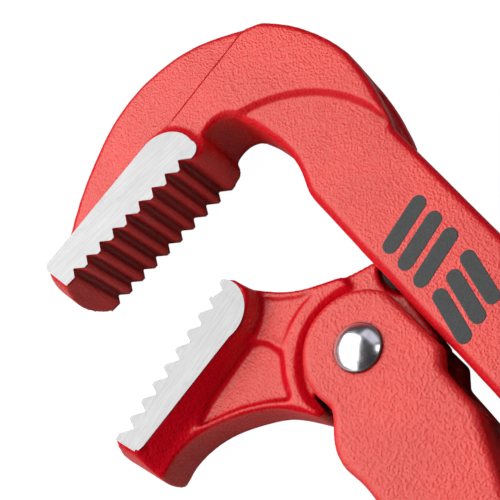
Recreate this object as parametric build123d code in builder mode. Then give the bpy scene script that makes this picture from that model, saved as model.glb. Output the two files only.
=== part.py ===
from build123d import *
import math
import os

# Swedish-pattern pipe wrench, 90 degree jaws, about 424 mm long, as separate pieces.
# The tool lies flat: +Z up, +X along the main leg towards the head, +Y towards
# the second leg. Every outline is drawn on the plane through the middle of the
# tool, whose own origin is the axis of the jaw rivet.

os.makedirs("parts", exist_ok=True)

# Overall placing: the rivet axis and the middle plane, seen from the floor.
rivet_x = 115.4
rivet_y = -21.8
mid_height = 12.0

# Half thicknesses, measured from the middle plane.
ground_half = 9.5
head_half = 8.6
leg_half = 7.7
handle_half = 6.6
slot_half = 4.6
web_half = 5.4
tongue_half = 4.2
eye_half = 2.0
plate_inner = 4.6
plate_half = 9.1

# Teeth.
tooth_pitch = 4.45
tooth_depth = 2.3
upper_teeth = 9
lower_teeth = 8
lower_jaw_angle = 15.4

# Hinges and thread.
rivet_radius = 4.5
pin_at = (9.2, -17.9)
pin_radius = 3.0
thread_y = -26.0
thread_radius = 8.0
thread_pitch = 3.0
nut_radius = 10.8
nut_length = 15.4
nut_at = -75.0
window_length = 16.0

middle = Plane(origin=(rivet_x, rivet_y, mid_height))
upright = Plane(origin=(rivet_x, rivet_y, mid_height), x_dir=(1, 0, 0), z_dir=(0, -1, 0))


def layer(height):
    """The drawing plane at a height above the middle of the tool."""
    return middle.offset(height)


def rim_edges(piece, height):
    """Edges of a piece that lie flat at a height above the middle of the tool."""
    level = mid_height + height
    return piece.edges().filter_by_position(Axis.Z, level - 0.01, level + 0.01)


def end_plane(start, stop):
    """Upright plane at the start of a jaw end, its X out of the jaw, its Z along the end."""
    along = Vector(stop[0] - start[0], stop[1] - start[1])
    out = along.rotate(Axis.Z, 90)
    corner = Vector(rivet_x + start[0], rivet_y + start[1], mid_height)
    return Plane(origin=corner, x_dir=out, z_dir=along)


def tooth_notch(lean):
    """One gap between two teeth, its valley above the drawing origin."""
    Polygon(
        (lean * 1.3, -0.4),
        (lean * 0.15, tooth_depth),
        (-lean * 0.15, tooth_depth),
        (-lean * 2.9, -0.4),
        align=None,
        mode=Mode.SUBTRACT,
    )


# ---------------------------------------------------------------- main leg
with BuildPart() as main_leg:
    # Leg and handle, one flat bar with a swelling round the nut window.
    with BuildSketch(layer(-leg_half)):
        with BuildLine():
            Spline(
                (68.8, -12.2),
                (66.0, -12.9),
                (60.5, -14.4),
                (54.5, -15.4),
                (48.6, -15.7),
                (42.0, -14.4),
                (35.5, -12.9),
                tangents=((-1, 0), (-1, 0)),
            )
            Polyline(
                (35.5, -12.9),
                (-50, -14.4),
                (-63, -11.6),
                (-87, -11.6),
                (-104, -15.2),
                (-118, -15.4),
                (-118, -35.2),
                (-104, -35.8),
                (-87, -40.4),
                (-63, -40.4),
                (-50, -36.2),
                (37, -36.2),
                (62, -34.0),
                (68.8, -12.2),
            )
        make_face()
    extrude(amount=2 * leg_half)

    # Handle, thinner than the leg, with a round end.
    with BuildSketch(layer(-handle_half)):
        with BuildLine():
            Polyline((-112, -16.2), (-180, -17.4), (-318.2, -17.0))
            ThreePointArc((-318.2, -17.0), (-327.4, -26.2), (-318.2, -35.4))
            Polyline((-318.2, -35.4), (-180, -34.2), (-112, -34.4), (-112, -16.2))
        make_face()
    extrude(amount=2 * handle_half)

    # Head, from the step across the leg up to the crown.
    with BuildSketch(layer(-head_half)):
        with BuildLine():
            ThreePointArc((35.0, -36.4), (57.0, -28.6), (67.6, -12.6))
            ThreePointArc((67.6, -12.6), (70.7, -8.0), (69.8, -3.8))
            ThreePointArc((69.8, -3.8), (67.1, -2.5), (66.7, 1.25))
            Polyline((66.7, 1.25), (69.9, 3.4), (76.4, 38.6))
            ThreePointArc((76.4, 38.6), (84.7, 28.9), (91.6, 17.8))
            ThreePointArc((91.6, 17.8), (96.65, 1.0), (93.0, -16.6))
            ThreePointArc((93.0, -16.6), (89.4, -22.6), (85.0, -28.0))
            Line((85.0, -28.0), (82.6, -32.0))
            ThreePointArc((82.6, -32.0), (73.4, -37.2), (58.2, -40.8))
            ThreePointArc((58.2, -40.8), (46.5, -39.6), (35.0, -36.4))
        make_face()
    extrude(amount=2 * head_half)

    # Hook jaw with its ground side faces.
    with BuildSketch(layer(-ground_half)):
        with BuildLine():
            Line((66.75, 1.2), (66.0, 43.6))
            Line((66.0, 43.6), (73.2, 45.4))
            ThreePointArc((73.2, 45.4), (74.7, 45.0), (75.3, 43.4))
            Line((75.3, 43.4), (79.9, 7.5))
            ThreePointArc((79.9, 7.5), (76.6, 0.9), (70.5, -1.1))
            ThreePointArc((70.5, -1.1), (67.7, -0.8), (66.75, 1.2))
        make_face()
        with Locations(Location((66.3, 21.95, 0), (0, 0, 91.5))):
            with GridLocations(tooth_pitch, 0, upper_teeth, 1):
                with Locations(Location((0, 0, 0), (0, 0, 180))):
                    tooth_notch(-1)
    extrude(amount=2 * ground_half)

    # Slope from the ground faces down to the head round the inner end of the jaw.
    for side in (1, -1):
        with BuildSketch(layer(side * (head_half - 0.1))):
            Polygon(
                (67.0, -0.8),
                (68.2, -2.4),
                (70.8, -3.2),
                (74.6, -2.6),
                (78.4, -0.6),
                (80.8, 2.8),
                (81.2, 8.0),
                (72.0, 12.0),
                align=None,
            )
        with BuildSketch(layer(side * (ground_half - 0.1))):
            Polygon(
                (67.0, 0.2),
                (68.4, -0.8),
                (70.6, -1.0),
                (73.8, -0.3),
                (76.8, 1.2),
                (78.8, 3.7),
                (79.8, 7.5),
                (72.0, 12.0),
                align=None,
            )
        loft(ruled=True)

    # Convex forged end of the hook jaw.
    with BuildSketch(end_plane((66.0, 43.6), (73.2, 45.4))):
        with BuildLine():
            ThreePointArc((0, -ground_half), (2.7, 0), (0, ground_half))
            Line((0, ground_half), (0, -ground_half))
        make_face()
    extrude(amount=7.3)

    # Slot for the tail of the lower jaw and the shank, open at both edges.
    with BuildSketch(layer(-slot_half)):
        Polygon(
            (-46, -44),
            (52.5, -44),
            (52.5, -36),
            (48, -29),
            (42, -24),
            (42, -8),
            (-46, -8),
            align=None,
        )
    extrude(amount=2 * slot_half, mode=Mode.SUBTRACT)

    # Closed bore that guides the shank past the nut.
    with BuildSketch(layer(-slot_half)):
        with Locations((-86, thread_y)):
            Rectangle(86, 2 * thread_radius + 0.8)
    extrude(amount=2 * slot_half, mode=Mode.SUBTRACT)

    # Window for the nut.
    with BuildSketch(layer(-leg_half)):
        with Locations((nut_at, thread_y)):
            Rectangle(window_length, 2 * nut_radius + 0.8)
    extrude(amount=2 * leg_half, mode=Mode.SUBTRACT)

    # Long panels that make the handle an I-section.
    for side in (handle_half - 1.8, -handle_half):
        with BuildSketch(layer(side)):
            with Locations((-222, -25.9)):
                SlotOverall(170, 8.4)
        extrude(amount=1.8, mode=Mode.SUBTRACT)

    # Rounded forging edges on both faces.
    for side in (1, -1):
        leg_rim = rim_edges(main_leg, side * leg_half).filter_by(lambda e: e.length > 11)
        fillet(leg_rim.filter_by_position(Axis.Y, rivet_y - 20, rivet_y - 12), 1.6)
        leg_rim = rim_edges(main_leg, side * leg_half).filter_by(lambda e: e.length > 11)
        fillet(leg_rim.filter_by_position(Axis.Y, rivet_y - 41, rivet_y - 35.3), 1.3)
        throat = rim_edges(main_leg, side * head_half).filter_by(GeomType.CIRCLE)
        throat_middle = (rivet_x + 70.7, rivet_y - 8.0, mid_height + side * head_half)
        fillet(throat.sort_by_distance(throat_middle)[0], 1.2)
        crown = rim_edges(main_leg, side * head_half).filter_by(lambda e: e.length > 20)
        crown = crown.filter_by(lambda e: e.center().X > rivet_x + 82 or e.center().Y < rivet_y - 38)
        fillet(crown.filter_by(GeomType.CIRCLE), 1.0)
        handle_rim = rim_edges(main_leg, side * handle_half).filter_by(lambda e: e.length > 20)
        fillet(handle_rim.filter_by(lambda e: abs(e.center().Y - rivet_y + 25.9) > 5 or e.length < 40), 1.6)

main_leg.part.label = "main_leg"
export_step(main_leg.part, "parts/main_leg.step")

# --------------------------------------------------------------- lower jaw
tip_start = (13.0, 49.0)
tip_stop = (24.7, 53.6)
tip_plane = end_plane(tip_start, tip_stop)
tip_length = math.hypot(tip_stop[0] - tip_start[0], tip_stop[1] - tip_start[1])
tip_profile_plane = Plane(origin=tip_plane.origin, x_dir=tip_plane.z_dir, z_dir=tip_plane.x_dir)

# Convex forged end, its outline that of the web, the flank and the jaw block.
with BuildPart() as jaw_tip:
    with BuildSketch(tip_plane):
        with BuildLine():
            ThreePointArc((0, -ground_half), (3.0, 0), (0, ground_half))
            Polyline((0, ground_half), (-1.6, ground_half), (-1.6, -ground_half), (0, -ground_half))
        make_face()
    extrude(amount=tip_length)
    with BuildSketch(tip_profile_plane.offset(-2)):
        Polygon(
            (0, -web_half + 0.3),
            (0, web_half - 0.3),
            (1.4, web_half),
            (6.2, ground_half - 0.1),
            (6.6, ground_half),
            (tip_length, ground_half),
            (tip_length, -ground_half),
            (6.6, -ground_half),
            (6.2, -ground_half + 0.1),
            (1.4, -web_half),
            align=None,
        )
    extrude(amount=8, mode=Mode.INTERSECT)

with BuildPart() as lower_jaw:
    # Tongue between the fork plates and tail into the slot of the main leg.
    with BuildSketch(layer(-tongue_half)):
        Circle(13.4)
        with BuildLine():
            Spline((21.2, 0), (18.4, -4.6), (16.0, -11.0), (14.4, -16.0))
            Polyline((14.4, -16.0), (6.0, -14.0), (-8.4, -12.9), (-8.4, -8.0), (-2.0, 12.0))
            Line((-2.0, 12.0), (21.2, 0))
        make_face()
        with BuildLine():
            Polyline((24, 4), (4, 18), (0, 10), (10, -4), (24, 4))
        make_face()
        with Locations(pin_at):
            Circle(6.3, mode=Mode.SUBTRACT)
    extrude(amount=2 * tongue_half)

    # Thin eye round the hidden pin.
    with BuildSketch(layer(-eye_half)):
        with Locations(pin_at):
            Circle(5.4)
        with BuildLine():
            Polyline((14.0, -6), (14.4, -15.5), (4.4, -15.5), (2.0, -8), (14.0, -6))
        make_face()
    extrude(amount=2 * eye_half)

    # Web that carries the jaw.
    with BuildSketch(layer(-web_half)):
        with BuildLine():
            Spline(
                (33.4, 12.4),
                (29.2, 8.8),
                (25.0, 5.2),
                (21.9, 1.4),
                (19.8, -2.2),
                (17.4, -6.4),
            )
            Polyline((17.4, -6.4), (12.0, -6.4), (-1.5, 12.0), (-3.0, 15.9))
            Spline(
                (-3.0, 15.9),
                (1.0, 18.6),
                (5.2, 21.9),
                (9.3, 27.6),
                (12.2, 33.5),
                (14.0, 40.2),
                (12.9, 49.2),
            )
            Polyline((12.9, 49.2), (20.0, 49.6), (33.4, 12.4))
        make_face()
        Circle(14.4, mode=Mode.SUBTRACT)
    extrude(amount=2 * web_half)

    # Two shallow pockets on both sides of the web, inside the rim of the cup.
    for depth, corners in (
        (
            0.5,
            (
                (15.1, 13.0),
                (18.2, 13.8),
                (20.5, 15.1),
                (22.4, 17.4),
                (28.0, 9.8),
                (24.4, 6.6),
                (21.4, 3.0),
                (19.5, -0.6),
                (19.4, 1.6),
                (18.9, 5.0),
                (17.6, 8.6),
            ),
        ),
        (
            1.1,
            (
                (14.4, 13.7),
                (17.9, 14.5),
                (20.0, 15.7),
                (21.4, 17.6),
                (20.6, 24.0),
                (18.4, 32.0),
                (15.6, 38.6),
                (14.2, 35.4),
                (11.2, 28.1),
                (8.0, 23.0),
                (4.4, 18.3),
                (9.2, 16.7),
            ),
        ),
    ):
        for side in (web_half - depth, -web_half):
            with BuildSketch(layer(side)):
                Polygon(*corners, align=None)
            extrude(amount=depth, mode=Mode.SUBTRACT)

    # Jaw block with its ground side faces.
    with BuildSketch(layer(-ground_half)):
        with BuildLine():
            Line((35.7, 13.2), (24.7, 53.6))
            Line((24.7, 53.6), (18.7, 50.6))
            Line((18.7, 50.6), (18.6, 49.2))
            Line((18.6, 49.2), (23.5, 19.8))
            ThreePointArc((23.5, 19.8), (25.4, 14.0), (29.6, 11.7))
            ThreePointArc((29.6, 11.7), (33.2, 11.8), (35.7, 13.2))
        make_face()
        with Locations(Location((29.9, 34.4, 0), (0, 0, 90 + lower_jaw_angle))):
            with GridLocations(tooth_pitch, 0, lower_teeth, 1):
                tooth_notch(-1)
        # Shorter notch under the tooth at the inner end.
        Polygon(
            (36.4, 14.0),
            (33.4, 14.7),
            (34.0, 17.6),
            (36.6, 17.6),
            align=None,
            mode=Mode.SUBTRACT,
        )
    extrude(amount=2 * ground_half)

    # Sloping flanks from the ground faces down to the web.
    for side in (1, -1):
        with BuildSketch(layer(side * (web_half - 0.4))):
            Polygon(
                (34.8, 12.7),
                (32.2, 11.0),
                (29.0, 9.2),
                (26.6, 10.6),
                (24.2, 12.8),
                (22.0, 16.0),
                (20.9, 20.4),
                (18.4, 31.0),
                (15.6, 41.0),
                (14.4, 48.9),
                (20.5, 49.4),
                (27.0, 20.0),
                align=None,
            )
        with BuildSketch(layer(side * (ground_half - 0.1))):
            Polygon(
                (35.5, 13.1),
                (33.5, 11.3),
                (30.2, 10.5),
                (27.2, 11.7),
                (25.3, 13.9),
                (24.2, 16.6),
                (23.5, 20.0),
                (21.7, 31.0),
                (20.0, 41.5),
                (18.8, 48.4),
                (20.5, 49.4),
                (27.0, 20.0),
                align=None,
            )
        loft(ruled=True)

    # Rounded edge under the web and chamfered cup round the fork plates.
    for side in (1, -1):
        web_rim = rim_edges(lower_jaw, side * web_half)
        fillet(web_rim.filter_by(GeomType.BSPLINE).sort_by(Edge.length)[-1], 1.2)
        web_rim = rim_edges(lower_jaw, side * web_half).filter_by(GeomType.CIRCLE)
        chamfer(web_rim.sort_by(Edge.length)[-1], 1.1)

    # Convex forged end of the jaw and of the web beside it.
    add(jaw_tip.part)

    # Hole for the jaw rivet and hole for the hidden pin.
    with BuildSketch(layer(-tongue_half)):
        Circle(rivet_radius + 0.06)
        with Locations(pin_at):
            Circle(pin_radius + 0.06)
    extrude(amount=2 * tongue_half, mode=Mode.SUBTRACT)

lower_jaw.part.label = "lower_jaw"
export_step(lower_jaw.part, "parts/lower_jaw.step")

# --------------------------------------------------------------- lower leg
with BuildPart() as lower_leg:
    # Fork end, drawn as one thick plate first.
    with BuildSketch(layer(-plate_half)):
        with BuildLine():
            ThreePointArc((5.6, -11.6), (10.4, 7.8), (-4.6, 12.1))
            Spline(
                (-4.6, 12.1),
                (-8.4, 13.9),
                (-11.8, 16.2),
                (-16.5, 17.4),
                (-24, 16.4),
                tangents=((-1, 0.1), (-1, -0.05)),
            )
            Polyline((-24, 16.4), (-42, 16.4), (-60, 23.6), (-60, 4.4), (-45, -2.6), (-27, -9.9))
            Polyline((-27, -9.9), (-15.6, -10.0), (-11.9, -12.7), (5.6, -11.6))
        make_face()
    extrude(amount=2 * plate_half)

    # Handle, thinner, bending away from the main leg and back again.
    with BuildSketch(layer(-handle_half)):
        with BuildLine():
            ThreePointArc((-52, 2.4), (-104, 26.6), (-160, 41.0))
            Line((-160, 41.0), (-290, 66.0))
            ThreePointArc((-290, 66.0), (-297.4, 76.9), (-286.4, 84.2))
            Line((-286.4, 84.2), (-160, 59.8))
            ThreePointArc((-160, 59.8), (-106, 43.6), (-52, 19.0))
            Line((-52, 19.0), (-52, 2.4))
        make_face()
    extrude(amount=2 * handle_half)

    # Gap between the fork plates for the tongue of the lower jaw.
    with BuildSketch(layer(-plate_inner)):
        with Locations((-3, 2)):
            Rectangle(46, 44)
    extrude(amount=2 * plate_inner, mode=Mode.SUBTRACT)

    # Holes for the jaw rivet.
    with BuildSketch(layer(-plate_half)):
        Circle(rivet_radius)
    extrude(amount=2 * plate_half, mode=Mode.SUBTRACT)

    # Long panels that make the handle an I-section.
    for side in (handle_half - 1.8, -handle_half):
        with BuildSketch(layer(side)):
            with Locations(Location((-208, 60.1, 0), (0, 0, -10.9))):
                SlotOverall(134, 8.4)
        extrude(amount=1.8, mode=Mode.SUBTRACT)

    # Rounded forging edges on both faces.
    for side in (1, -1):
        plate_rim = rim_edges(lower_leg, side * plate_half)
        plate_rim = plate_rim.filter_by_position(Axis.X, rivet_x - 59, rivet_x + 12)
        fillet(plate_rim.filter_by(lambda e: e.length < 28 or e.length > 29), 1.2)
        handle_rim = rim_edges(lower_leg, side * handle_half).filter_by(lambda e: e.length > 28)
        fillet(handle_rim.filter_by(lambda e: e.length < 120 or e.length > 127), 1.6)

lower_leg.part.label = "lower_leg"
export_step(lower_leg.part, "parts/lower_leg.step")

# --------------------------------------------------------------- jaw rivet
dome_height = 2.4
dome_radius = (5.25**2 + dome_height**2) / (2 * dome_height)

with BuildPart() as jaw_rivet:
    with BuildSketch(layer(-plate_half)):
        Circle(rivet_radius)
    extrude(amount=2 * plate_half)
    # Domed heads on both plates.
    for side in (1, -1):
        with BuildSketch(layer(side * plate_half)):
            Circle(5.3)
        extrude(amount=side * 0.5)
        base = side * (plate_half + 0.5)
        top = side * (plate_half + 0.5 + dome_height)
        halfway = top - side * (dome_radius - math.sqrt(dome_radius**2 - 9.0))
        with BuildSketch(upright):
            with BuildLine():
                Line((0, base), (5.25, base))
                ThreePointArc((5.25, base), (3.0, halfway), (0, top))
                Line((0, top), (0, base))
            make_face()
        revolve(axis=Axis((rivet_x, rivet_y, 0), (0, 0, 1)))

jaw_rivet.part.label = "jaw_rivet"
export_step(jaw_rivet.part, "parts/jaw_rivet.step")

# ---------------------------------------------------------- threaded shank
thread_axis = Axis((rivet_x, rivet_y + thread_y, mid_height), (1, 0, 0))
thread_start = -100.0
thread_stop = -34.0
groove_count = int((thread_stop - thread_start) / thread_pitch)

with BuildPart() as threaded_shank:
    # Flat bar with its fork end.
    with BuildSketch(layer(-tongue_half)):
        with Locations(pin_at):
            Circle(5.4)
        with BuildLine():
            Polyline(
                (14.0, -20.4),
                (7.0, -33.6),
                (-100, -34.0),
                (-100, -18.0),
                (-4, -18.0),
                (5.4, -14.2),
                (14.0, -20.4),
            )
        make_face()
    extrude(amount=2 * tongue_half)

    # Room for the thin eye of the jaw tail.
    with BuildSketch(layer(-eye_half - 0.35)):
        with Locations(pin_at):
            Circle(6.3)
        with Locations((14, -12)):
            Rectangle(16, 24)
    extrude(amount=2 * eye_half + 0.7, mode=Mode.SUBTRACT)

    # Hole for the hidden pin.
    with BuildSketch(layer(-tongue_half)):
        with Locations(pin_at):
            Circle(pin_radius)
    extrude(amount=2 * tongue_half, mode=Mode.SUBTRACT)

    # Thread form on the narrow edges.
    with BuildSketch(upright.offset(-thread_y)):
        with Locations(((thread_start + thread_stop) / 2, thread_radius + 1)):
            Rectangle(thread_stop - thread_start + 1, 2)
        for groove in range(groove_count):
            with Locations((thread_start + 1.5 + groove * thread_pitch, 0)):
                Polygon(
                    (-1.3, thread_radius + 0.4),
                    (-0.2, thread_radius - 1.3),
                    (0.2, thread_radius - 1.3),
                    (1.3, thread_radius + 0.4),
                    align=None,
                )
    revolve(axis=thread_axis, mode=Mode.SUBTRACT)

threaded_shank.part.label = "threaded_shank"
export_step(threaded_shank.part, "parts/threaded_shank.step")

# --------------------------------------------------------------- shank pin
with BuildPart() as shank_pin:
    with BuildSketch(layer(-tongue_half)):
        with Locations(pin_at):
            Circle(pin_radius)
    extrude(amount=2 * tongue_half)

shank_pin.part.label = "shank_pin"
export_step(shank_pin.part, "parts/shank_pin.step")

# ----------------------------------------------------------- adjusting nut
nut_plane = Plane(
    origin=(rivet_x + nut_at - nut_length / 2, rivet_y + thread_y, mid_height),
    x_dir=(0, 1, 0),
    z_dir=(1, 0, 0),
)
knurl_count = 36

with BuildPart() as adjusting_nut:
    with BuildSketch(nut_plane):
        Circle(nut_radius)
        with PolarLocations(nut_radius, knurl_count):
            Rectangle(1.0, 0.9, rotation=45, mode=Mode.SUBTRACT)
        Circle(thread_radius + 0.25, mode=Mode.SUBTRACT)
    extrude(amount=nut_length)

adjusting_nut.part.label = "adjusting_nut"
export_step(adjusting_nut.part, "parts/adjusting_nut.step")
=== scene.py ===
import math

import bmesh
import bpy
import numpy as np
from mathutils import Matrix, Vector


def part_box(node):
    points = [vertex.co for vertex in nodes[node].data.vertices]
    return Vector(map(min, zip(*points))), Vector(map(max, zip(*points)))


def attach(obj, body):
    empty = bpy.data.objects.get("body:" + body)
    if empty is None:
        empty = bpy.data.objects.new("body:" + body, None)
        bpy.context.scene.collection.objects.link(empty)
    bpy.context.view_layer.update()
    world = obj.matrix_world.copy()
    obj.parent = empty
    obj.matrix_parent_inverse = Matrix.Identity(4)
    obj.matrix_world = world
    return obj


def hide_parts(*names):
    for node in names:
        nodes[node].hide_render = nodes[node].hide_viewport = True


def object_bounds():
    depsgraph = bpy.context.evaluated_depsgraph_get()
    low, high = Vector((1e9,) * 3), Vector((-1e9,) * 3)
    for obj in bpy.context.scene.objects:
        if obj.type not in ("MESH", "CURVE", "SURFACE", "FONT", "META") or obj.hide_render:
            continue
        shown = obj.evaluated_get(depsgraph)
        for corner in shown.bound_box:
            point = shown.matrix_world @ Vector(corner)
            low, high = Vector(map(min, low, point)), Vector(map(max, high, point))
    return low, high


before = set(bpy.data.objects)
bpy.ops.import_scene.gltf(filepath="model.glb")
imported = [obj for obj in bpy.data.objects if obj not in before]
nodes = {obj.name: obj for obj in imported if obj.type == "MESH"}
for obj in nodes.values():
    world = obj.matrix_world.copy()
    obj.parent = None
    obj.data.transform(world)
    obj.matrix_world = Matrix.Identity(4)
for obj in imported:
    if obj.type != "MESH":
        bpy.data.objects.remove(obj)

MM = 0.001
cad_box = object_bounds()
scene = bpy.context.scene

# Places taken from the frame, in metres.
RIVET_LOW, RIVET_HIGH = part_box("jaw_rivet")
RIVET = (RIVET_LOW + RIVET_HIGH) / 2
MID = RIVET.z
PIN_LOW, PIN_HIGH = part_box("shank_pin")
PIN = (PIN_LOW + PIN_HIGH) / 2

# Sizes that repeat the part's own, and the room kept round a shaft.
GROUND_HALF = 9.5 * MM
LEG_HALF = 7.7 * MM
RIVET_RADIUS = 4.5 * MM
PIN_RADIUS = 3.0 * MM
HOLE_GAP = 0.2 * MM
HOLE_REACH = 0.6 * MM

# The crease across the hook: two points of it from the rivet, and the side that is lower.
CREASE = ((84.4 * MM, -28.0 * MM), (80.0 * MM, -0.5 * MM))
crease_way = Vector((CREASE[1][0] - CREASE[0][0], CREASE[1][1] - CREASE[0][1])).normalized()
CREASE_NORMAL = (crease_way.y, -crease_way.x)

# The forged skin: its waves as (wavelength in metres, height in mm), and its smoothing.
SKIN_WAVES = ((7.0 * MM, 0.05), (2.6 * MM, 0.018), (1.3 * MM, 0.012))
SMOOTH_FACTOR = 0.5
SMOOTH_ROUNDS = 3

# Places closer than this, in metres, count as one.
TINY = 1e-6

# The printed marks: their grid, and how far they go into the leg's face and stand off it.
MARK_VOXEL = 0.17 * MM
MARK_SUNK = 0.5 * MM
MARK_PROUD = 0.05 * MM


# ----------------------------------------------------------------- value noise
# Large odd numbers that scatter the lattice points, and the bits that are kept.
HASH_X, HASH_Y, HASH_Z = 374761393, 668265263, 1274126177
HASH_SEED = 97531
HASH_STIR = 1103515245
HASH_MASK = 0xFFFFFF


def lattice(ix, iy, iz, seed):
    """Random numbers from -1 to 1, one for each lattice point."""
    h = ix * np.int64(HASH_X) + iy * np.int64(HASH_Y) + iz * np.int64(HASH_Z) + np.int64(seed * HASH_SEED)
    h = (h ^ (h >> np.int64(13))) * np.int64(HASH_STIR)
    h = (h ^ (h >> np.int64(16))) & np.int64(HASH_MASK)
    return h / float(HASH_MASK) * 2 - 1


def value_noise(points, wavelength, seed):
    """Smooth noise from -1 to 1 at an array of points in metres."""
    q = points / wavelength
    base = np.floor(q).astype(np.int64)
    f = q - base
    f = f * f * (3 - 2 * f)
    out = 0
    for dx in (0, 1):
        for dy in (0, 1):
            for dz in (0, 1):
                weight = (f[:, 0] if dx else 1 - f[:, 0]) * (f[:, 1] if dy else 1 - f[:, 1])
                weight = weight * (f[:, 2] if dz else 1 - f[:, 2])
                out = out + weight * lattice(base[:, 0] + dx, base[:, 1] + dy, base[:, 2] + dz, seed)
    return out


def forging(points):
    """How far the forged skin stands off the nominal surface, in metres."""
    height = 0
    for index, (wavelength, share) in enumerate(SKIN_WAVES):
        height = height + share * value_noise(points, wavelength, index + 1)
    return height * MM


# ----------------------------------------------------------------- mesh helpers
def coords(mesh):
    """The vertex positions of a mesh, one row each."""
    out = np.empty(len(mesh.vertices) * 3)
    mesh.vertices.foreach_get("co", out)
    return out.reshape(-1, 3)


def normals(mesh):
    """The vertex normals of a mesh, one row each."""
    out = np.empty(len(mesh.vertices) * 3)
    mesh.vertices.foreach_get("normal", out)
    return out.reshape(-1, 3)


def put_coords(mesh, co):
    """Write the vertex positions of a mesh back."""
    mesh.vertices.foreach_set("co", co.ravel())
    mesh.update()


def add_object(name, mesh):
    """A new object with this mesh, in the scene."""
    obj = bpy.data.objects.new(name, mesh)
    scene.collection.objects.link(obj)
    return obj


def baked(obj):
    """Replace an object's mesh by the result of its modifiers."""
    graph = bpy.context.evaluated_depsgraph_get()
    mesh = bpy.data.meshes.new_from_object(obj.evaluated_get(graph))
    obj.modifiers.clear()
    obj.data = mesh


def add_remesh(obj, voxel):
    """Cover an object with an even grid of faces."""
    remesh = obj.modifiers.new("skin", "REMESH")
    remesh.mode = "VOXEL"
    remesh.voxel_size = voxel
    remesh.adaptivity = 0
    remesh.use_smooth_shade = True


def add_smooth(obj, rounds, group=""):
    """Smooth an object, all over or by the weights of a vertex group."""
    smooth = obj.modifiers.new("soften", "SMOOTH")
    smooth.factor = SMOOTH_FACTOR
    smooth.iterations = rounds
    smooth.vertex_group = group


def dress(obj, material):
    """Give an object one material."""
    obj.data.materials.clear()
    obj.data.materials.append(material)


# -------------------------------------------------------------- shape of the skin
def push_out(co, centre, shaft):
    """Keep the walls of a hole clear of the shaft that turns in it."""
    dx = co[:, 0] - centre.x
    dy = co[:, 1] - centre.y
    r = np.hypot(dx, dy)
    near = (r > TINY) & (r < shaft + HOLE_REACH)
    grow = np.where(near, np.maximum((shaft + HOLE_GAP) / np.maximum(r, TINY), 1.0), 1.0)
    co[:, 0] = centre.x + dx * grow
    co[:, 1] = centre.y + dy * grow


def taper_hook(co):
    """Lower the outer faces of the hook a little beyond the crease across the head."""
    step_width = 0.45 * MM
    step_height = 0.26 * MM
    slope = 0.035
    x = co[:, 0] - RIVET.x
    y = co[:, 1] - RIVET.y
    beyond = (x - CREASE[0][0]) * CREASE_NORMAL[0] + (y - CREASE[0][1]) * CREASE_NORMAL[1]
    step = np.clip(beyond / step_width, 0, 1)
    drop = step * step * (3 - 2 * step) * step_height + np.clip(beyond, 0, None) * slope
    share = np.clip((np.abs(co[:, 2] - MID) - 3 * MM) / (4 * MM), 0, 1)
    co[:, 2] -= np.sign(co[:, 2] - MID) * drop * share
    return co


def slope_cup(co):
    """Slope the rim of the cup in the lower jaw down towards the fork plates."""
    rim_radius = 17.2 * MM
    rim_width = 2.6 * MM
    wall_radius = 13.6 * MM
    drop = 1.1 * MM
    reach = np.hypot(co[:, 0] - RIVET.x, co[:, 1] - RIVET.y)
    inward = np.clip((rim_radius - reach) / rim_width, 0, 1)
    height = co[:, 2] - MID
    share = np.clip((np.abs(height) - 4.3 * MM) / (0.9 * MM), 0, 1) * (reach > wall_radius)
    co[:, 2] -= np.sign(height) * share * inward * inward * drop
    return co


# How far each place, in mm from the rivet and from the middle plane, lies from the crisp
# details of a piece, from 0 to 1.
def plain_main_leg(x, y, depth):
    """Away from the jaw and its teeth, the step across the leg and the slot."""
    jaw = np.clip((x - (82.0 - 0.16 * (y - 7.5))) / 1.5, 0, 1)
    throat = np.clip((-6.0 - y) / 3.0, 0, 1)
    off_step = np.abs(np.hypot(x - 31.3, y - 1.6) - 38.2)
    step = np.where((x > 36) & (y < -12), np.clip((off_step - 1.6) / 1.2, 0, 1), 1.0)
    slot = (depth < 5.2) & (x < 56) & (y > -36)
    return np.maximum(jaw, throat) * step * ~slot


def plain_lower_jaw(x, y, _depth):
    """Away from the teeth and ground faces, the cup round the plates and the tail."""
    jaw = np.clip((22.6 - 0.19 * (y - 20.0) - x) / 1.5, 0, 1)
    cup = np.clip((np.hypot(x, y) - 16.2) / 1.5, 0, 1)
    tail = np.clip((y - 8.0) / 3.0, 0, 1)
    return jaw * cup * tail


def plain_lower_leg(x, y, _depth):
    """Away from the round ends of the fork plates."""
    return np.clip((np.hypot(x, y) - 15.5) / 2.0, 0, 1) * np.clip((-6.0 - x) / 4.0, 0, 1)


def soften_rims(obj, plain_share, rounds):
    """Smooth the forged edges further, by how far each point lies from the crisp details."""
    co = coords(obj.data)
    x = (co[:, 0] - RIVET.x) / MM
    y = (co[:, 1] - RIVET.y) / MM
    depth = np.abs(co[:, 2] - MID) / MM
    group = obj.vertex_groups.new(name="rims")
    for index, amount in enumerate(plain_share(x, y, depth)):
        if amount > 0.01:
            group.add([index], float(amount), "REPLACE")
    add_smooth(obj, rounds, group.name)
    baked(obj)
    obj.vertex_groups.clear()


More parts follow.
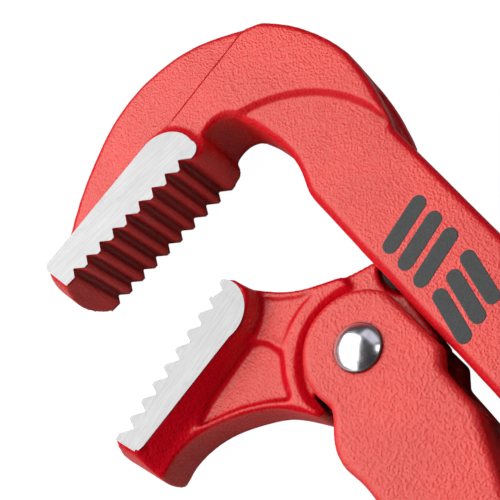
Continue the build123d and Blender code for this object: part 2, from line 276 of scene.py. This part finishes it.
def forged_copy(name, source, voxel, rounds, plain_share, reshape, shafts):
    """A softened copy of a CAD node with the skin of a painted forging."""
    mesh = nodes[source].data.copy()
    mesh.materials.clear()
    obj = add_object(name, mesh)
    bm = bmesh.new()
    bm.from_mesh(mesh)
    bmesh.ops.remove_doubles(bm, verts=bm.verts, dist=TINY)
    bm.to_mesh(mesh)
    bm.free()
    add_remesh(obj, voxel)
    add_smooth(obj, SMOOTH_ROUNDS)
    baked(obj)
    soften_rims(obj, plain_share, rounds)
    mesh = obj.data
    co = coords(mesh)
    co = co + normals(mesh) * forging(co)[:, None]
    if reshape:
        co = reshape(co)
    low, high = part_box(source)
    limit = GROUND_HALF - 0.04 * MM
    co[:, 2] = np.clip(co[:, 2], MID - limit, MID + limit)
    co = np.clip(co, np.array(low), np.array(high))
    for centre, shaft in shafts:
        push_out(co, centre, shaft)
    put_coords(mesh, co)
    mesh.shade_smooth()
    return obj


def ground_faces(name, source):
    """Thin crisp plates on the two ground side faces of a jaw, with the exact toothed outline."""
    proud = 0.01 * MM
    thickness = 0.2 * MM
    mesh = nodes[source].data
    co = coords(mesh)
    bm = bmesh.new()
    for side in (1, -1):
        level = MID + side * GROUND_HALF
        flat = np.abs(co[:, 2] - level) < 2 * TINY
        made = {}
        faces = []
        for polygon in mesh.polygons:
            if all(flat[i] for i in polygon.vertices):
                corners = []
                for i in polygon.vertices:
                    key = (round(co[i, 0] / TINY), round(co[i, 1] / TINY))
                    if key not in made:
                        made[key] = bm.verts.new((co[i, 0], co[i, 1], level + side * proud))
                    corners.append(made[key])
                if len(set(corners)) == len(corners):
                    faces.append(bm.faces.new(corners))
        lower = bmesh.ops.extrude_face_region(bm, geom=faces, use_keep_orig=True)
        moved = [v for v in lower["geom"] if isinstance(v, bmesh.types.BMVert)]
        bmesh.ops.translate(bm, verts=moved, vec=(0, 0, -side * thickness))
    bmesh.ops.dissolve_limit(bm, angle_limit=0.01, verts=bm.verts, edges=bm.edges)
    bmesh.ops.recalc_face_normals(bm, faces=bm.faces)
    out = bpy.data.meshes.new(name)
    bm.to_mesh(out)
    bm.free()
    return add_object(name, out)


def stroke(start, end, width):
    """Outline of a straight stroke with round ends."""
    half = width / 2
    way = math.atan2(end[1] - start[1], end[0] - start[0])
    outline = []
    for tip, heading in ((end, way), (start, way + math.pi)):
        for k in range(9):
            turn = heading + math.radians(90 - 22.5 * k)
            outline.append((tip[0] + half * math.cos(turn), tip[1] + half * math.sin(turn)))
    return outline


def mark(name, outlines):
    """Plain printed marks on the upper face of the main leg, following its skin."""
    face_level = MID + LEG_HALF
    bm = bmesh.new()
    for outline in outlines:
        low = []
        for x, y in outline:
            low.append(bm.verts.new((RIVET.x + x * MM, RIVET.y + y * MM, face_level - MARK_SUNK)))
        face = bm.faces.new(low)
        top = bmesh.ops.extrude_face_region(bm, geom=[face], use_keep_orig=True)
        moved = [v for v in top["geom"] if isinstance(v, bmesh.types.BMVert)]
        bmesh.ops.translate(bm, verts=moved, vec=(0, 0, MARK_SUNK + MARK_PROUD))
    bmesh.ops.recalc_face_normals(bm, faces=bm.faces)
    mesh = bpy.data.meshes.new(name)
    bm.to_mesh(mesh)
    bm.free()
    obj = add_object(name, mesh)
    add_remesh(obj, MARK_VOXEL)
    add_smooth(obj, SMOOTH_ROUNDS)
    baked(obj)
    co = coords(obj.data)
    surface = np.stack([co[:, 0], co[:, 1], np.full(len(co), face_level)], axis=1)
    co[:, 2] += forging(surface)
    put_coords(obj.data, co)
    return obj


# ------------------------------------------------------------------ materials
# Sockets of the colour mix node, which shares its names with its other kinds.
MIX_FACTOR, MIX_A, MIX_B, MIX_RESULT = 0, 6, 7, 2

RED_LOW, RED_HIGH = (0.62, 0.010, 0.010), (0.68, 0.013, 0.013)
# Painted shade: a deeper red for the slopes of the forging, where the sheen falls away.
RED_SLOPE_SHADE = (0.50, 0.0, 0.010)
RED_GRAIN = (0.42, 0.002, 0.006)
# Lighter pink for convex edges: partly paint worn thin, partly a painted highlight.
RED_WORN_AND_HIGHLIT = (0.78, 0.08, 0.08)
# Painted shade: a near-black red for the hollows.
RED_HOLLOW_SHADE = (0.10, 0.0, 0.001)
# Painted shade: a dark red for the step along the crease of the hook.
RED_CREASE_SHADE = (0.30, 0.0, 0.004)


def grey(value):
    """A neutral colour."""
    return (value, value, value)


class Nodes:
    """Short helper for building a node tree."""

    def __init__(self, name):
        self.material = bpy.data.materials.new(name)
        self.material.use_nodes = True
        self.tree = self.material.node_tree
        self.shader = self.tree.nodes["Principled BSDF"]
        place = self.tree.nodes.new("ShaderNodeTexCoord")
        self.place = place.outputs["Object"]

    def feed(self, socket, value):
        """Link a socket to another, or set its value."""
        if isinstance(value, bpy.types.NodeSocket):
            self.tree.links.new(value, socket)
        else:
            socket.default_value = value

    def node(self, kind, inputs, **settings):
        """A node with these settings and inputs."""
        made = self.tree.nodes.new(kind)
        for key, value in settings.items():
            setattr(made, key, value)
        for key, value in inputs.items():
            self.feed(made.inputs[key], value)
        return made

    def noise(self, scale, detail, roughness=0.55, vector=None):
        """Fractal noise from 0 to 1, with the scale in waves to the metre."""
        inputs = {"Vector": vector or self.place, "Scale": scale, "Detail": detail, "Roughness": roughness}
        return self.node("ShaderNodeTexNoise", inputs).outputs["Fac"]

    def cells(self, scale):
        """Soft pits, with the scale in cells to the metre."""
        inputs = {"Vector": self.place, "Scale": scale}
        return self.node("ShaderNodeTexVoronoi", inputs, feature="SMOOTH_F1").outputs["Distance"]

    def ramp(self, value, low, high, to_low=0.0, to_high=1.0):
        """Map low..high smoothly to to_low..to_high and hold it beyond them."""
        inputs = {"Value": value, "From Min": low, "From Max": high, "To Min": to_low, "To Max": to_high}
        return self.node("ShaderNodeMapRange", inputs, interpolation_type="SMOOTHSTEP").outputs["Result"]

    def math(self, operation, *values):
        """One step of arithmetic."""
        return self.node("ShaderNodeMath", dict(enumerate(values)), operation=operation).outputs[0]

    def mix(self, factor, a, b):
        """Colour a where the factor is 0 and colour b where it is 1."""
        inputs = {MIX_FACTOR: factor, MIX_A: a, MIX_B: b}
        for key, value in inputs.items():
            if isinstance(value, tuple):
                inputs[key] = (*value, 1)
        return self.node("ShaderNodeMix", inputs, data_type="RGBA").outputs[MIX_RESULT]

    def bump(self, height, distance, strength=1.0, after=None):
        """A normal tilted by a height."""
        inputs = {"Height": height, "Distance": distance, "Strength": strength}
        if after is not None:
            inputs["Normal"] = after
        return self.node("ShaderNodeBump", inputs).outputs["Normal"]

    def along(self, scale, turn):
        """Object coordinates turned so that X lies along a direction, then stretched."""
        inputs = {"Vector": self.place, "Angle": -turn}
        turned = self.node("ShaderNodeVectorRotate", inputs, rotation_type="Z_AXIS").outputs[0]
        return self.node("ShaderNodeVectorMath", {0: turned, 1: scale}, operation="MULTIPLY").outputs[0]

    def set(self, **values):
        """Link or set the shader's own sockets."""
        for key, value in values.items():
            if isinstance(value, tuple):
                value = (*value, 1)
            self.feed(self.shader.inputs[key.replace("_", " ")], value)


def crease_shade_line(m):
    """A thin wandering line of painted shade along the crease of the hook, from 0 to 1."""
    split = m.node("ShaderNodeSeparateXYZ", {"Vector": m.place})
    x = m.math("ADD", split.outputs["X"], -RIVET.x - CREASE[0][0])
    y = m.math("ADD", split.outputs["Y"], -RIVET.y - CREASE[0][1])
    beyond = m.math("ADD", m.math("MULTIPLY", x, CREASE_NORMAL[0]), m.math("MULTIPLY", y, CREASE_NORMAL[1]))
    wander = m.math("MULTIPLY", m.math("SUBTRACT", m.noise(500, 2), 0.5), 0.5 * MM)
    beyond = m.math("ABSOLUTE", m.math("ADD", m.math("SUBTRACT", beyond, 0.22 * MM), wander))
    reach = m.ramp(m.math("ADD", split.outputs["Y"], -RIVET.y), 1.5 * MM, -1.5 * MM)
    return m.math("MULTIPLY", m.ramp(beyond, 0.50 * MM, 0.12 * MM), reach)


def red_paint(name, slope_shade_share, shaded_crease=False):
    """Semi-gloss paint over a forging, with painted shade where it slopes (a deeper red and less sheen) and
    painted shade in its hollows.
    """
    m = Nodes(name)
    grain = m.noise(2600, 4, 0.6)
    height = m.math("ADD", m.math("MULTIPLY", m.cells(1800), 1.5), m.math("MULTIPLY", grain, 0.8))
    height = m.math("ADD", height, m.math("MULTIPLY", m.noise(1000, 3, 0.5), 0.45))
    # Convex edges made lighter: partly worn paint, partly a painted highlight.
    edge = m.ramp(m.node("ShaderNodeNewGeometry", {}).outputs["Pointiness"], 0.54, 0.62)
    # Painted shade in the hollows, from ambient occlusion within 5 mm.
    hollow_shade = m.node("ShaderNodeAmbientOcclusion", {"Distance": 5 * MM}, samples=6, only_local=True)
    hollow_shade = m.ramp(hollow_shade.outputs["AO"], 0.97, 0.45)
    soft = m.node("ShaderNodeBevel", {"Radius": 1.8 * MM}, samples=8).outputs["Normal"]
    facing = m.node("ShaderNodeSeparateXYZ", {"Vector": soft})
    tilt = m.math("SUBTRACT", 1.0, m.math("ABSOLUTE", facing.outputs["Z"]))
    # Painted shade on slopes, by how far the softened normal tilts from the face: a deeper red and less
    # sheen.
    slope_shade = m.math("MULTIPLY", m.ramp(tilt, 0.008, 0.040), m.ramp(tilt, 0.66, 0.42, 0.0, slope_shade_share))
    colour = m.mix(m.ramp(m.noise(60, 2, 0.5), 0.35, 0.65), RED_LOW, RED_HIGH)
    colour = m.mix(m.math("MULTIPLY", slope_shade, 0.8), colour, RED_SLOPE_SHADE)
    colour = m.mix(m.ramp(grain, 0.42, 0.25), colour, RED_GRAIN)
    colour = m.mix(m.math("MULTIPLY", edge, 0.25), colour, RED_WORN_AND_HIGHLIT)
    colour = m.mix(m.math("MULTIPLY", hollow_shade, 0.92), colour, RED_HOLLOW_SHADE)
    # Painted shade along the crease of the hook: a dark red line with less sheen.
    if shaded_crease:
        line = crease_shade_line(m)
        colour = m.mix(m.math("MULTIPLY", line, 0.85), colour, RED_CREASE_SHADE)
        slope_shade = m.math("MAXIMUM", slope_shade, line)
    rough = m.ramp(m.noise(700, 3, 0.6), 0.3, 0.7, 0.28, 0.42)
    gloss = m.math("SUBTRACT", 0.74, m.math("MULTIPLY", slope_shade, 0.72))
    m.set(Base_Color=colour, Roughness=rough, Normal=m.bump(height, 0.125 * MM, 1.0, soft))
    m.set(Specular_IOR_Level=gloss, Specular_Tint=(1.0, 0.97, 0.85))
    return m.material


def ground_steel(name, turn, tone):
    """Bare steel ground along the jaw, with fine lines at an angle to the X axis."""
    m = Nodes(name)
    lines = m.noise(1.0, 4, 0.7, m.along((230, 6500, 230), turn))
    coarse = m.noise(1.0, 3, 0.6, m.along((90, 2300, 90), turn))
    blotch = m.noise(330, 4, 0.6)
    colour = m.mix(m.ramp(coarse, 0.35, 0.7), grey(0.90 * tone), grey(1.04 * tone))
    colour = m.mix(m.ramp(lines, 0.46, 0.30, 0, 0.45), colour, grey(0.55 * tone))
    colour = m.mix(m.ramp(blotch, 0.55, 0.75, 0, 0.5), colour, grey(0.80 * tone))
    rough = m.ramp(lines, 0.3, 0.7, 0.42, 0.58)
    height = m.math("ADD", m.math("MULTIPLY", lines, 0.7), m.math("MULTIPLY", coarse, 0.5))
    m.set(Base_Color=colour, Roughness=rough, Metallic=1.0, Normal=m.bump(height, 0.05 * MM, 0.8))
    return m.material


def plain_steel(name, light, dark, low, high):
    """Machined steel with a little grime in it."""
    m = Nodes(name)
    grain = m.noise(1700, 4, 0.6)
    colour = m.mix(m.ramp(m.noise(150, 3, 0.6), 0.35, 0.7), light, dark)
    rough = m.ramp(grain, 0.3, 0.7, low, high)
    m.set(Base_Color=colour, Roughness=rough, Metallic=1.0, Normal=m.bump(grain, 0.02 * MM, 0.5))
    return m.material


def rivet_chrome():
    """Polished steel with painted shade in the joint under the rim of each head."""
    m = Nodes("chrome")
    grain = m.noise(2300, 4, 0.6)
    smear = m.noise(420, 3, 0.6)
    split = m.node("ShaderNodeSeparateXYZ", {"Vector": m.place})
    x = m.math("POWER", m.math("SUBTRACT", split.outputs["X"], RIVET.x), 2.0)
    y = m.math("POWER", m.math("SUBTRACT", split.outputs["Y"], RIVET.y), 2.0)
    # Painted shade: darker and rougher at the rim of each head.
    rim = m.ramp(m.math("SQRT", m.math("ADD", x, y)), 4.95 * MM, 5.22 * MM)
    colour = m.mix(m.ramp(smear, 0.35, 0.7), (0.86, 0.86, 0.89), (0.72, 0.71, 0.74))
    colour = m.mix(rim, colour, (0.10, 0.07, 0.07))
    rough = m.math("ADD", m.ramp(smear, 0.3, 0.7, 0.20, 0.28), m.math("MULTIPLY", rim, 0.3))
    m.set(Base_Color=colour, Roughness=rough, Metallic=1.0, Normal=m.bump(grain, 0.012 * MM, 0.5))
    return m.material


def mark_ink():
    """Matt dark grey ink over the forged skin."""
    m = Nodes("mark_ink")
    grain = m.noise(2600, 3, 0.6)
    colour = m.mix(m.ramp(grain, 0.35, 0.65), (0.018, 0.020, 0.020), (0.042, 0.046, 0.046))
    height = m.math("ADD", m.math("MULTIPLY", m.cells(950), 0.4), m.math("MULTIPLY", grain, 0.3))
    rough = m.ramp(grain, 0.3, 0.7, 0.50, 0.65)
    m.set(Base_Color=colour, Roughness=rough, Normal=m.bump(height, 0.10 * MM, 0.8))
    m.set(Specular_IOR_Level=0.4)
    return m.material


UPPER_STEEL = ground_steel("ground_steel_upper", math.radians(90), 0.40)
LOWER_STEEL = ground_steel("ground_steel_lower", math.radians(105.4), 0.37)
CHROME = rivet_chrome()
# The shank's near-black is partly its dark oiled finish and partly painted shade for the gap between the
# leg and the fork plates.
SHANK_STEEL = plain_steel("shank_steel", (0.022, 0.018, 0.017), (0.012, 0.010, 0.010), 0.45, 0.6)
NUT_STEEL = plain_steel("nut_steel", (0.50, 0.50, 0.52), (0.36, 0.36, 0.38), 0.22, 0.34)


# --------------------------------------------------------------------- pieces
def add_forging(name, source, body, skin, material):
    """A painted forging in the place of its CAD node."""
    piece = forged_copy(name, source, **skin)
    dress(piece, material)
    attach(piece, body)
    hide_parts(source)


AT_RIVET = (RIVET, RIVET_RADIUS)
AT_PIN = (PIN, PIN_RADIUS)

add_forging(
    "main_leg_skin",
    "main_leg",
    "main",
    {
        "voxel": 0.45 * MM,
        "rounds": 26,
        "plain_share": plain_main_leg,
        "reshape": taper_hook,
        "shafts": [AT_RIVET],
    },
    red_paint("red_paint_main_leg", 0.92, True),
)
add_forging(
    "lower_jaw_skin",
    "lower_jaw",
    "jaw",
    {
        "voxel": 0.40 * MM,
        "rounds": 12,
        "plain_share": plain_lower_jaw,
        "reshape": slope_cup,
        "shafts": [AT_RIVET, AT_PIN],
    },
    red_paint("red_paint_jaw", 1.0),
)
add_forging(
    "lower_leg_skin",
    "lower_leg",
    "second_leg",
    {
        "voxel": 0.45 * MM,
        "rounds": 6,
        "plain_share": plain_lower_leg,
        "reshape": None,
        "shafts": [AT_RIVET],
    },
    red_paint("red_paint_lower_leg", 0.4),
)

for name, source, body, material in (
    ("upper_jaw_ground_faces", "main_leg", "main", UPPER_STEEL),
    ("lower_jaw_ground_faces", "lower_jaw", "jaw", LOWER_STEEL),
):
    piece = ground_faces(name, source)
    dress(piece, material)
    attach(piece, body)

for name, material in (
    ("jaw_rivet", CHROME),
    ("threaded_shank", SHANK_STEEL),
    ("shank_pin", SHANK_STEEL),
    ("adjusting_nut", NUT_STEEL),
):
    for slot in nodes[name].material_slots:
        slot.material = material

# Slanted strokes in two blocks of three, a plain decoration on the leg.
marks = []
for k in range(3):
    marks.append(stroke((15.8 - 5.4 * k, -28.6), (13.0 - 5.4 * k, -18.6), 3.9))
for k in range(3):
    marks.append(stroke((-1.6 - k, -28.2 + 4.6 * k), (-11.4 - k, -26.4 + 4.6 * k), 3.6))
ink = mark("leg_marks", marks)
dress(ink, mark_ink())
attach(ink, "main")


# ---------------------------------------------------------------------- stage
def white_in_picture(tree, shader, seen, share):
    """Keep a backdrop pale in the picture whatever it throws back on the object."""
    path = tree.nodes.new("ShaderNodeLightPath")
    glow = tree.nodes.new("ShaderNodeEmission")
    glow.inputs["Color"].default_value = (*grey(seen), 1)
    part = tree.nodes.new("ShaderNodeMath")
    part.operation = "MULTIPLY"
    part.inputs[1].default_value = share
    blend = tree.nodes.new("ShaderNodeMixShader")
    tree.links.new(path.outputs["Is Camera Ray"], part.inputs[0])
    tree.links.new(part.outputs[0], blend.inputs[0])
    tree.links.new(shader.outputs[0], blend.inputs[1])
    tree.links.new(glow.outputs[0], blend.inputs[2])
    return blend.outputs[0]


def add_floor(half, gap):
    """A plain pale floor just under the object."""
    mesh = bpy.data.meshes.new("floor")
    corners = [(-half, -half, 0), (half, -half, 0), (half, half, 0), (-half, half, 0)]
    mesh.from_pydata(corners, [], [(0, 1, 2, 3)])
    floor = add_object("floor", mesh)
    floor.location.z = cad_box[0].z - gap
    material = bpy.data.materials.new("floor")
    material.use_nodes = True
    tree = material.node_tree
    shader = tree.nodes["Principled BSDF"]
    shader.inputs["Base Color"].default_value = (*grey(0.28), 1)
    shader.inputs["Roughness"].default_value = 0.9
    surface = white_in_picture(tree, shader, 1.10, 0.90)
    tree.links.new(surface, tree.nodes["Material Output"].inputs["Surface"])
    mesh.materials.append(material)


def add_world():
    """Dim surroundings that look white in the picture."""
    world = bpy.data.worlds.new("studio")
    scene.world = world
    world.use_nodes = True
    tree = world.node_tree
    background = tree.nodes["Background"]
    background.inputs["Color"].default_value = (0.03, 0.03, 0.032, 1)
    surface = white_in_picture(tree, background, 1.05, 1.0)
    tree.links.new(surface, tree.nodes["World Output"].inputs["Surface"])


# The point between the jaws that all the lights face.
LIT = Vector((0.16, 0.0, MID))


def softbox(name, direction, distance, width, height, power, colour=(1, 1, 1)):
    """A rectangular light that faces the jaws from a direction."""
    light = bpy.data.lights.new(name, "AREA")
    light.shape = "RECTANGLE"
    light.size = width
    light.size_y = height
    light.energy = power
    light.color = colour
    obj = bpy.data.objects.new(name, light)
    scene.collection.objects.link(obj)
    toward = Vector(direction).normalized()
    obj.location = LIT + toward * distance
    obj.rotation_euler = toward.to_track_quat("Z", "Y").to_euler()


add_floor(3.0, 0.1 * MM)
add_world()
softbox("key", (0.45, 0.42, 0.79), 0.75, 1.45, 1.2, 14.6)
softbox("side", (-0.15, 0.85, 0.5), 0.9, 0.7, 0.5, 2.2)
softbox("cool", (0.2, -0.80, 0.56), 0.9, 0.9, 0.5, 1.1, (0.92, 0.87, 1.0))
softbox("edge", (-0.55, -0.73, 0.42), 0.9, 0.3, 0.3, 0.6)

# --------------------------------------------------------------------- camera
# The view looks down, tilted so that the eye leans towards ALONG, then rolled about its axis.
EYE = Vector((-15.2, -51.8, 247.3)) * MM
TILT = math.radians(37.0)
ROLL = math.radians(36.3)
ALONG = Vector((-0.97922, -0.20243, 0))
ACROSS = Vector((-0.20243, 0.97922, 0))
UP = Vector((0, 0, 1))
back = ALONG * math.sin(TILT) + UP * math.cos(TILT)
slope = ALONG * math.cos(TILT) - UP * math.sin(TILT)
picture_right = slope * math.cos(ROLL) - ACROSS * math.sin(ROLL)
picture_up = -(slope * math.sin(ROLL) + ACROSS * math.cos(ROLL))
camera_data = bpy.data.cameras.new("camera")
camera_data.lens = 93.64
camera_data.sensor_width = 36.0
camera_data.clip_start = 0.01
camera_data.clip_end = 20.0
camera = bpy.data.objects.new("camera", camera_data)
scene.collection.objects.link(camera)
rotation = Matrix((picture_right, picture_up, back)).transposed()
camera.matrix_world = Matrix.Translation(EYE) @ rotation.to_4x4()
scene.camera = camera

scene.view_settings.view_transform = "Standard"

bpy.context.view_layer.update()
